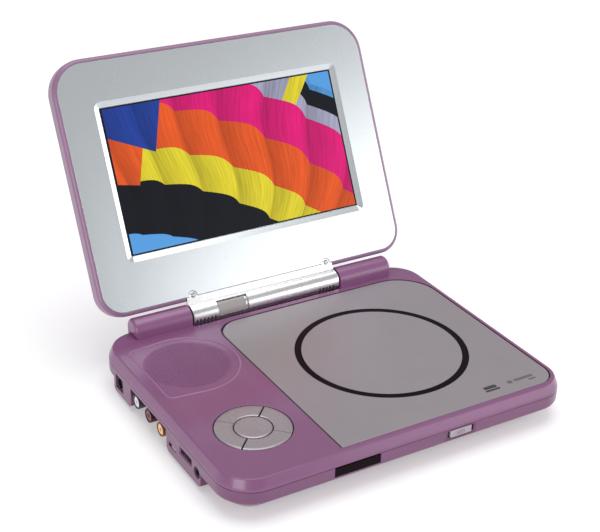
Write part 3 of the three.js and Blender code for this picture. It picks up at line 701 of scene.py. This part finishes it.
# ---- base: sockets, window, button, wheel and switch ----
def rca_socket(name, insert_finish, sleeve_finish):
    low, high = mm_box(name)
    y, z = side_spot(name)
    length = high.x - low.x
    slot = name.replace("rca", "jack")
    # the sleeve's dark finish is painted shade
    shell = [(0, 2.4), (2.2, 2.4), (3.4, 2.4), (3.4, 0.3), (3.5, 0.05), (3.9, 0), (4.1, 0.25),
             (4.1, length - 7), (4.3, length - 7), (4.3, length), (0, length)]
    sleeve = Piece(name + "_shell", along_x(turned(shell, (0, 0), 48), low.x, y, z))
    sleeve.done("base", slot, sleeve_finish, name)
    core = [(0, 2.2), (1.0, 2.2), (1.0, 0.4), (1.2, 0.15), (2.7, 0.15), (3.05, 0.35), (3.1, 2.3),
            (0, 2.3)]
    insert = Piece(name + "_insert", along_x(turned(core, (0, 0), 48), low.x + 0.1, y, z))
    insert.done("base", slot, insert_finish)
    # painted shade: a black plug set in the centre hole of each socket, standing in for the dark inside of
    # the hole
    tube = turned([(0, 1.2), (0.98, 1.2), (0.98, 2.3), (0, 2.3)], (0, 0), 24)
    hole_shade = Piece(name + "_contact", along_x(tube, low.x + 0.1, y, z))
    hole_shade.done("base", "black_plastic", black_plastic)


def phone_socket():
    low, high = mm_box("phone_jack")
    length = high.x - low.x
    profile = [(0, 9), (1.75, 9), (1.75, 0.2), (1.95, 0), (2.7, 0), (3.0, 0.3), (3.0, length), (0, length)]
    shape = along_x(turned(profile, (0, 0), 40), low.x, *side_spot("phone_jack"))
    Piece("phone_socket", shape).done("base", "black_plastic", black_plastic, "phone_jack")


def dc_socket():
    low, high = mm_box("dc_jack")
    y, z = side_spot("dc_jack")
    socket = Piece("dc_socket", box(low.x, high.x, low.y, high.y, low.z, high.z, 0.35))
    socket.cut(side_hole(3.1, y, z, 10, 0.5))
    socket.done("base", "black_plastic", black_plastic, "dc_jack")
    pin = along_x(turned([(0, 0), (0.5, 0), (0.9, 0.5), (0.9, 8), (0, 8)], (0, 0), 20), low.x + 1.2, y, z)
    Piece("dc_pin", pin).done("base", "screw_steel", screw_steel)


def sockets():
    for name, finishes in RCA.items():
        rca_socket(name, *finishes)
    phone_socket()
    dc_socket()


def infrared_window():
    low, high = mm_box("ir_window")
    window = box(low.x, high.x, low.y, high.y, low.z, high.z, 0.25)
    Piece("ir_lens", window).done("base", "ir_plastic", ir_plastic, "ir_window")


def door_button():
    low, high = mm_box("open_button")
    cap = Piece("door_button", box(low.x, high.x, low.y + SNUG, low.y + 3.4, low.z, high.z, 0.5))
    cap.join(box(low.x + 4, high.x - 4, low.y + 3, high.y, low.z + 1, high.z - 1))
    for i in range(3):
        z = (low.z + high.z) / 2 - 0.9 + 0.9 * i
        cap.cut(box(low.x + 4.5, high.x - 4.5, low.y - 1, low.y + 0.25, z - 0.15, z + 0.15))
    cap.done("open_button", "key_silver", button_paint, "open_button")


def thumb_wheel():
    low, high = mm_box("volume_wheel")
    centre = centre_of("volume_wheel").xy
    steps = 240
    teeth = []
    for i in range(steps):
        turn = 2 * math.pi * i / steps
        reach = (high.x - low.x) / 2 - (0.3 if i % 4 < 2 else 0.0)
        teeth.append((centre.x + reach * math.cos(turn), centre.y + reach * math.sin(turn)))
    wheel = Piece("thumb_wheel", stack(teeth, edged(-13.1, -10.9, 0.2, 2)))
    wheel.join(stack(circle(centre, 3, 32), [(0, -13.5), (0, -12)]))
    wheel.done("volume_wheel", "black_plastic", black_plastic, "volume_wheel", angle=25)


def power_knob():
    low, high = mm_box("power_switch")
    knob = Piece("power_knob", box(low.x, high.x, low.y, high.y, low.z, high.z, 0.3))
    for i in range(4):
        y = low.y + 0.9 + 0.93 * i
        knob.cut(box(low.x - 1, low.x + 0.25, y - 0.16, y + 0.16, low.z - 1, high.z + 1))
    knob.done("power_switch", "key_silver", button_paint, "power_switch")


def controls():
    infrared_window()
    door_button()
    thumb_wheel()
    power_knob()


# ---- base: speaker ----
def speaker_mesh():
    pitch, reach, hole = 1.6, 23.5, 0.37
    rows = int(reach / pitch)
    grid = [(pitch * i, pitch * j) for i in range(-rows, rows + 1) for j in range(-rows, rows + 1)]
    spots = [(SPEAKER[0] + x, SPEAKER[1] + y) for x, y in grid if math.hypot(x, y) < reach]
    mesh = Piece("speaker_mesh", plate(circle(SPEAKER, 24.7, 96), -1.2, 0.0, 0.12, 2))
    mesh.cut(merged([stack(circle(spot, hole, 8), [(0, -3), (0, 1)]) for spot in spots]))
    mesh.done("base", "grille_purple", mauve_grille, "speaker_grille", angle=30)


def speaker_ridge():
    """The raised outline: the hull of a large circle and two small ones at the left."""
    x, y = SPEAKER
    large, small, left, rise = 29.5, 4.0, -93.5, 23.5
    apart = Vector((left - x, rise))
    tangent = math.atan2(apart.y, apart.x) - math.acos((large - small) / apart.length)
    turn = math.degrees(tangent)
    outline = (arc(x, y, large, -turn, turn, 72) + arc(left, y + rise, small, turn, 180, 12)
               + arc(left, y - rise, small, 180, 360 - turn, 12))
    section = [(0.5, -0.1), (0.5, 0.1), (0.3, 0.34), (0.0, 0.44), (-0.3, 0.34), (-0.5, 0.1),
               (-0.5, -0.1)]
    ridge = Piece("speaker_ridge", stack(outline, section, closed=True))
    # the ridge's lighter mauve is a painted highlight
    ridge.done("base", "base_purple", mauve_painted_highlight)


# ---- base: key pad ----
def quarter(middle, first, last):
    """The wedge that a key is kept in, between slits that are first and last wide."""
    u = Vector((math.cos(math.radians(middle - 45)), math.sin(math.radians(middle - 45))))
    v = Vector((-u.y, u.x))
    tip = Vector(PAD) + u * last / 2 + v * first / 2
    corners = [tip, tip + 40 * u, tip + 40 * u + 40 * v, tip + 40 * v]
    return stack([tuple(c) for c in corners], [(0, -6), (0, 3)])


def key_pad():
    outer = PAD_RADIUS - 0.1
    dome = [(0.25, -3.2), (0, -3.0), (0, -0.6), (0.12, -0.25), (0.4, 0.04), (0.9, 0.2), (1.8, 0.28),
            (4, 0.3), (8.8, 0.26), (9.5, 0.18), (9.9, -0.05), (10.02, -0.4), (10.05, -3.2)]
    ring = stack(circle(PAD, outer, 144), dome, closed=True)
    wide, thin = 1.0, 0.35
    for i, side in enumerate(("right", "up", "left", "down")):
        key = Piece(f"pad_{side}", ring)
        key.keep(quarter(90 * i, wide if i % 2 else thin, thin if i % 2 else wide))
        turn = math.pi / 2 * i
        stem = (PAD[0] + 15 * math.cos(turn), PAD[1] + 15 * math.sin(turn))
        key.join(turned([(0, -4.4), (1.5, -4.4), (1.5, -3.1), (0, -3.1)], stem, 20))
        key.done(f"key_{side}", "key_silver", key_paint, f"key_{side}")
    centre = [(0, -4.4), (1.5, -4.4), (1.5, -3.2), (9.9, -3.2), (10.1, -2.9), (10.1, -0.4), (9.98, -0.05),
              (9.6, 0.18), (9.0, 0.28), (7.4, 0.3), (6.0, 0.22), (3.0, 0.1), (0, 0.06)]
    Piece("pad_enter", turned(centre, PAD, 72)).done("key_enter", "key_silver", key_paint, "key_enter")


# ---- disc door ----
def disc_door():
    area = (DOOR[0] + 0.4, DOOR[1] - 0.45, DOOR[2], DOOR[3] - 0.5)
    door = Piece("door_panel", stack(rounded(area, DOOR_CORNERS, 20), edged(-2.2, 0, 0.55, 4)))
    gap = 0.06
    width = RING_OUTER - RING_INNER + 2 * gap
    groove = [(0, -0.6), (0, 1), (width, 1), (width, -0.6)]
    door.cut(stack(circle(DISC, RING_OUTER + gap, 128), groove, closed=True))
    # the catch under the front edge, and a stiffening rib at each side
    x = DISC[0]
    door.join(box(x - 3.5, x + 3.5, -70.6, -69.4, -7.2, -1.5),
              box(x - 3.5, x + 3.5, -71.4, -70, -7.2, -6.2, 0.2))
    for side in (-1, 1):
        door.join(box(x + side * 40 - 0.6, x + side * 40 + 0.6, -62, 60, -2.45, -2.0))
    door.done("disc_door", "door_silver", door_paint, "disc_door")


def door_ring():
    width = RING_OUTER - RING_INNER
    levels = [(0, -0.55), (0, -0.12), (0.1, -0.02), (width - 0.1, -0.02), (width, -0.12),
              (width, -0.55)]
    ring = Piece("inlay_ring", stack(circle(DISC, RING_OUTER, 128), levels, closed=True))
    ring.done("disc_door", "ring_dark", ring_gloss, "door_ring")


def door_marks():
    """Plain printed bars without letters: (middle x, middle y, length, height)."""
    dark = [(61.2, -61.1, 8.6, 2.7), (61.2, -63.9, 9.8, 1.6)]
    pale = [(74.2, -61.9, 3.4, 3.0), (83.6, -61.7, 13.0, 2.2), (87.6, -64.6, 5.0, 1.4)]
    marks = [(mark, mark_ink) for mark in dark] + [(mark, mark_pale_ink) for mark in pale]
    for i, ((x, y, length, height), ink) in enumerate(marks):
        area = (x - length / 2, x + length / 2, y - height / 2, y + height / 2)
        bar = plate(rounded(area, height * 0.45, 6), -0.02, 0.03, 0.01, 1)
        Piece(f"mark_{i + 1}", bar).done("disc_door", "ring_dark", ink)


# ---- hinge: covers on the base, barrel on the lid ----
def hinge_cover(name, x0, x1):
    """A fixed half-round cover: a full bevel at its outer end, a crisp end beside the barrel."""
    y, z, r = axis.y, axis.z, 7.0
    # drawn across the hinge: first coordinate along y, second up
    foot = [(y - r, 0.05), (y + 2.6, 0.05), (y + 2.6, PARTING + 0.1), (BASE[3] - 0.1, PARTING + 0.1),
            (BASE[3] + 0.2, PARTING + 0.6)]
    outline = foot + arc(y, z, r, 0, 180, 28)
    length = x1 - x0
    # six levels make the full bevel, three the crisp one
    full, crisp = edged(0, length, 1.9, 5), edged(0, length, 0.3, 2)
    levels = full[:6] + crisp[3:] if x1 < 0 else crisp[:3] + full[6:]
    cover = Piece(name + "_shell", across(stack(outline, levels), x0))
    # the bore for the hinge shaft, open beside the barrel
    start = x1 - 30 if x1 < 0 else x0 - 2
    cover.cut(along_x(rod(2.5, 32), start, y, z))
    # the covers' lighter mauve is painted light
    cover.done("base", "base_purple", mauve_cover_painted_lighter, name)


UPRIGHT = Matrix.Rotation(math.radians(90), 4, "X")  # turns lid pieces drawn flat to face forward
BARREL_WINDOW = (-33.4, -15.2)  # both ends of its pane along x
# the middle of each small vent along x
VENTS = [-48 + 2.4 * i for i in range(6)] + [36 + 2.4 * i for i in range(5)]


def hinge_barrel():
    half, r = HINGE_HALF, 6.8
    body = [(0, 0), (r - 0.7, 0), (r - 0.2, 0.2), (r, 0.7), (r, 2 * half - 0.7),
            (r - 0.2, 2 * half - 0.2), (r - 0.7, 2 * half), (0, 2 * half)]
    barrel = Piece("barrel_tube", along_x(turned(body, (0, 0), 96), -half, 0, 0))
    # the flange that joins it to the lid, with an ear for a screw at each end
    barrel.join(box(-half, half, -LID_FRONT, 1.2, 0, 10.9, 0.35))
    for x in (-EAR_X, EAR_X):
        ear = turned([(0, -1.2), (2.5, -1.2), (2.5, 1.8), (2.2, 2.1), (0, 2.1)], (x, EAR_Z), 40)
        barrel.join(turn_shape(ear, UPRIGHT))
        seat = [(0, 1.1), (1.5, 1.1), (1.5, 1.9), (1.75, 2.2), (1.75, 3), (0, 3)]
        barrel.cut(turn_shape(turned(seat, (x, EAR_Z), 32), UPRIGHT))
    # the pocket of the little window, which is a little longer than its pane
    x0 = BARREL_WINDOW[0] - 0.3
    pocket = carved(box(x0 + 0.1, x0 + 20.4, -9, -2.6, -4.2, 5.0),
                    along_x(rod(5.5, 20.3, steps=96), x0, 0, 0))
    barrel.cut(pocket)
    for x in (-51, 37):
        barrel.cut(along_x(rod(2.6, 14), x, 0, 0))
    barrel.cut(merged([box(x - 0.65, x + 0.65, -7.5, -2.6, -5.6, -3.1, 0.3) for x in VENTS]))
    barrel.done("lid", "barrel_silver", barrel_paint, "hinge_barrel", place=LID_PLACE)


def barrel_vent_painted_shade():
    """Black plugs set back in the rows of small vents at both ends: painted shade for the dark inside of
    the vents.
    """
    plugs = merged([box(x - 0.62, x + 0.62, -5.0, -2.65, -5.5, -3.2, 0.2) for x in VENTS])
    vent_shade = Piece("barrel_vent_painted_shade", plugs)
    vent_shade.done("lid", "barrel_silver", black_plastic, place=LID_PLACE)


def barrel_pane():
    """The little window: a strip of a tube, drawn across the hinge."""
    section = arc(0, 0, 6.65, 143, 217, 16) + arc(0, 0, 5.65, 217, 143, 16)
    levels = edged(0, BARREL_WINDOW[1] - BARREL_WINDOW[0], 0.15, 2)
    pane = Piece("barrel_pane", across(stack(section, levels), BARREL_WINDOW[0]))
    pane.done("lid", "barrel_window", window_plastic, "barrel_window", place=LID_PLACE)


def ear_screws():
    head = [(0, 1.2), (1.3, 1.2), (1.3, 1.7), (1.0, 1.95), (0, 2.05)]
    for name, x in (("ear_screw_left", -EAR_X), ("ear_screw_right", EAR_X)):
        shape = turned(head, (x, EAR_Z), 32)
        screw_head(name, shape, (x, EAR_Z), 0.7, 1.5, 3.0, UPRIGHT, "lid", LID_PLACE)


# ---- lid ----
LID_OUTLINE = rounded(LID, LID_CORNERS, 20)
RIM = 2.3  # radius of the lid's front edge


def lid_shell():
    turns = [math.radians(90 * i / 8) for i in range(9)]
    soft = 5
    back = [(soft * (1 - math.sin(a)), LID_BACK + soft * (1 - math.cos(a))) for a in turns]
    front = [(RIM * (1 - math.cos(a)), LID_FRONT - RIM + RIM * math.sin(a)) for a in turns[:-1]]
    rim = [(RIM - 0.05, LID_FRONT), (RIM + 0.1, LID_FRONT - 0.1), (RIM + 0.1, -6), (6, -6),
           (6, LID_BACK + 2)]
    shell = Piece("lid_shell", stack(LID_OUTLINE, [(9, LID_BACK)] + back + front + rim))
    wide = HINGE_HALF + 0.35
    shell.cut(box(-wide, wide, 0, 14.4, -1.6, 4))
    shell.done("lid", "lid_purple", mauve_lid, "lid_rear_cover", place=LID_FLAT)


def bezel():
    x0, x1, y0, y1 = SCREEN
    face = LID_FRONT
    opening = rounded((x0 - 0.15, x1 + 0.15, y0 - 0.15, y1 + 0.15), 0.8, 6)
    flat = shrink(LID_OUTLINE, RIM + 0.2)
    frame_piece = Piece("bezel_plate", stack(flat, edged(0.1, face, 0.25)))
    bevel, depth = 3.4, 1.75
    slope = [(0, -5), (0, face - depth), (-bevel, face), (-2 * bevel, face + depth)]
    frame_piece.cut(stack(opening, slope))
    wide = HINGE_HALF + 0.2
    frame_piece.cut(box(-wide, wide, 0, 11.08, -5, 9))
    for x in (-EAR_X, EAR_X):
        frame_piece.cut(stack(circle((x, EAR_Z), 2.75, 40), [(0, -5), (0, 9)]))
    frame_piece.done("lid", "bezel_silver", bezel_paint, "lid_bezel", place=LID_FLAT, angle=18)


def screen():
    x0, x1, y0, y1 = (SCREEN[0] + 0.1, SCREEN[1] - 0.1, SCREEN[2] + 0.1, SCREEN[3] - 0.1)
    pane = Piece("screen_glass", stack(rounded((x0, x1, y0, y1), 0.5, 4), edged(0.2, 0.62, 0.08, 2)))
    layer = pane.obj.data.uv_layers.new(name="screen")
    for loop in pane.obj.data.loops:
        co = pane.obj.data.vertices[loop.vertex_index].co
        layer.data[loop.index].uv = ((co.x - x0) / (x1 - x0), (co.y - y0) / (y1 - y0))
    pane.done("lid", "screen", screen_picture, "screen_window", place=LID_FLAT)


# ---- feet and case screws ----
def rubber_foot(i):
    low, high = mm_box(f"foot_{i}")
    profile = [(0, low.z + 0.15), (3.6, low.z + 0.15), (4.0, low.z), (5.5, low.z),
               (5.85, low.z + 0.15), (6, low.z + 0.5), (6, high.z), (0, high.z)]
    foot = Piece(f"rubber_foot_{i}", turned(profile, centre_of(f"foot_{i}").xy, 48))
    foot.done("base", "rubber", rubber, f"foot_{i}")


def case_screw(i):
    name = f"case_screw_{i}"
    low, high = mm_box(name)
    spot = centre_of(name).xy
    profile = [(0, low.z), (1.9, low.z), (2.4, low.z + 0.25), (2.6, low.z + 0.6), (2.6, low.z + 1),
               (1.2, low.z + 1.1), (1.2, high.z - 0.6), (0, high.z)]
    screw_head(name, turned(profile, spot, 32), spot, 1.4, low.z - 1, low.z + 0.5,
               Matrix.Identity(4), "base", BASE_PLACE)


def underside():
    for i in range(1, 5):
        rubber_foot(i)
        case_screw(i)


# ---- the disc bay and drive, seen when the door is open ----
def disc_bay():
    x, y = DISC
    radius, floor, top = 62.0, -8.8, -2.6
    rim = rounded((-42.9, 102.9, -73.3, 73.3), (3, 14, 16, 16))
    bay = Piece("bay_tray", stack(rim, edged(top - 1.3, top, 0.2, 2)))
    bay.join(stack(circle(DISC, radius + 1.3, 128), [(0, floor - 1.3), (0, top - 0.4)]))
    notches = [(x + side * (radius - 3), y) for side in (-1, 1)]
    for notch in notches:
        bay.join(stack(circle(notch, 10.3, 48), [(0, floor - 1.3), (0, top - 0.45)]))
    # the pocket: a raised ring round the hub, then the disc's own floor and a softened rim
    hub_ring = [(14.0, floor), (15.6, floor + 0.01), (16.6, floor + 0.4), (22, floor + 0.4), (23, floor)]
    wall = [(radius - 1.0, floor), (radius - 0.3, floor + 0.3), (radius, floor + 1),
            (radius, top - 0.5), (radius + 0.5, top + 0.01), (radius + 0.5, 1)]
    bay.cut(turned([(0, floor)] + hub_ring + wall + [(0, 1)], DISC, 128))
    # the spindle's hole, the pickup's slot and the opening for the door's catch
    slot = rounded((x - 7.5, x + 7.5, -61.8, -16.4), 1.5, 6)
    bay.cut(
        stack(circle(DISC, 3.5, 32), [(0, -30), (0, 0)]),
        stack(slot, [(0, -30), (0, floor + 0.5)]),
        box(x - 5, x + 5, -72.4, -67.5, -30, 0),
    )
    # finger notches on both sides of the pocket
    for notch in notches:
        bay.cut(turned([(0, floor), (8.5, floor), (9, floor + 0.5), (9, 0), (0, 0)], notch, 48))
    bay.done("base", "bay_plastic", bay_plastic, "disc_bay")


def hub_table():
    flange = [(0, -8.1), (2.6, -8.1), (2.6, -7.6), (14.3, -7.6), (14.5, -7.4), (14.5, -6.6),
              (14.3, -6.4)]
    post = [(9.6, -6.4), (9.4, -6.5), (7.5, -6.5), (7.3, -6.3), (7.3, -4.9), (6.9, -4.2), (6.2, -3.7),
            (5.4, -3.6), (2.4, -3.6), (2.0, -4.0), (0, -4.0)]
    spinner = Piece("hub_table", turned(flange + post, DISC, 72))
    spinner.cut(stack(circle(DISC, 1.4, 20), [(0, -9), (0, -4.6)]))
    # three balls that hold the disc
    ball = [(0, -5.6), (0.7, -5.5), (0.75, -5.0), (0.5, -4.6), (0, -4.5)]
    for i in range(3):
        turn = 2 * math.pi * i / 3
        spot = (DISC[0] + 7.0 * math.cos(turn), DISC[1] + 7.0 * math.sin(turn))
        spinner.join(turned(ball, spot, 16))
    spinner.done("turntable", "black_plastic", black_plastic, "turntable")


# ---- inner pieces keep their CAD shape and get their materials ----
INNER = [
    (steel, "drive_chassis rail_left rail_right feed_motor spindle_motor lcd_panel"),
    (steel, "hinge_shaft_left hinge_shaft_right"),
    (screw_steel, "lead_screw"),
    (board, "key_board main_board lcd_board backlight_inverter"),
    (black_plastic, "speaker_driver pickup_sled ir_receiver"),
    (rubber, "damper_1 damper_2 damper_3"),
    (battery_wrap, "battery_pack"),
    (lens_glass, "pickup_lens"),
]


def inner_pieces():
    for material, nodes in INNER:
        for node in nodes.split():
            mesh = frame["nodes"][node].data
            mesh.materials.clear()
            mesh.materials.append(material)


# ---- studio ----
def look_at(location, target):
    direction = Vector(target) - Vector(location)
    return direction.to_track_quat("-Z", "Y").to_euler()


# softboxes: name, place and aim in metres, width, height, watts
LAMPS = [
    ("top softbox", (0.1, 0.15, 1.5), (0, 0, 0.05), 1.3, 1.3, 13),
    ("lid softbox", (1.0, -0.90, 0.20), (0.03, 0.1, 0.08), 1.2, 1.0, 8.0),
    ("right softbox", (1.45, -0.2, 0.35), (0.05, 0.05, 0.05), 0.6, 0.6, 3.0),
    ("left softbox", (-1.3, -0.85, 0.45), (0, 0, 0.05), 0.9, 0.8, 10),
]


def softbox(name, location, target, width, height, power):
    light = bpy.data.lights.new(name, "AREA")
    light.shape = "RECTANGLE"
    light.size, light.size_y, light.energy = width, height, power
    lamp = bpy.data.objects.new(name, light)
    lamp.location = location
    lamp.rotation_euler = look_at(location, target)
    bpy.context.scene.collection.objects.link(lamp)


def pale_floor():
    floor = raw_object("floor", stack(circle((0, 0), 6.0, 96), [(0, -0.02), (0, -0.0002)]))
    paint = Surface("floor paint")
    slow = paint.spread(paint.noise(3, 2), 0, 1)
    tone = paint.blend(slow, (0.78, 0.78, 0.785, 1), (0.80, 0.80, 0.805, 1))
    paint.set(Base_Color=tone, Roughness=0.9, Specular_IOR_Level=0.1)
    paint.set(Emission_Color=(1, 1, 1, 1), Emission_Strength=0.26)
    floor.data.materials.append(paint.material)


def studio():
    world = bpy.data.worlds.new("studio")
    bpy.context.scene.world = world
    world.use_nodes = True
    background = world.node_tree.nodes["Background"]
    background.inputs["Color"].default_value = (1, 1, 1, 1)
    background.inputs["Strength"].default_value = 0.5
    pale_floor()
    for lamp in LAMPS:
        softbox(*lamp)


# the camera, solved from the photo: its place in millimetres in base coordinates, two of its
# directions, its lens in millimetres on a 36 mm sensor, and its shift as a share of the width
CAMERA_PLACE = (-351.67, -540.67, 389.29)
CAMERA_FORWARD, CAMERA_RIGHT = (0.45669, 0.75512, -0.47035), (0.86158, -0.50713, 0.02239)
CAMERA_LENS, CAMERA_SHIFT = 80.57, 0.0415


def camera():
    lens = bpy.data.cameras.new("camera")
    lens.sensor_width = 36
    lens.lens = CAMERA_LENS
    lens.shift_y = CAMERA_SHIFT
    lens.clip_start, lens.clip_end = 0.05, 30
    holder = bpy.data.objects.new("camera", lens)
    forward = Vector(CAMERA_FORWARD).normalized()
    right = Vector(CAMERA_RIGHT).normalized()
    up = right.cross(forward)
    turn = Matrix((right, up, -forward)).transposed().to_4x4()
    holder.matrix_world = Matrix.Translation(ORIGIN + Vector(CAMERA_PLACE) * MM) @ turn
    bpy.context.scene.collection.objects.link(holder)
    bpy.context.scene.camera = holder


camera()
studio()
case_top()
case_bottom()
sockets()
controls()
speaker_mesh()
speaker_ridge()
key_pad()
disc_door()
door_ring()
door_marks()
hinge_cover("hinge_cover_left", *COVER_LEFT)
hinge_cover("hinge_cover_right", *COVER_RIGHT)
hinge_barrel()
# black plugs in the vents: painted shade
barrel_vent_painted_shade()
barrel_pane()
ear_screws()
lid_shell()
bezel()
screen()
underside()
disc_bay()
hub_table()
inner_pieces()
bpy.context.scene.view_settings.view_transform = "Standard"
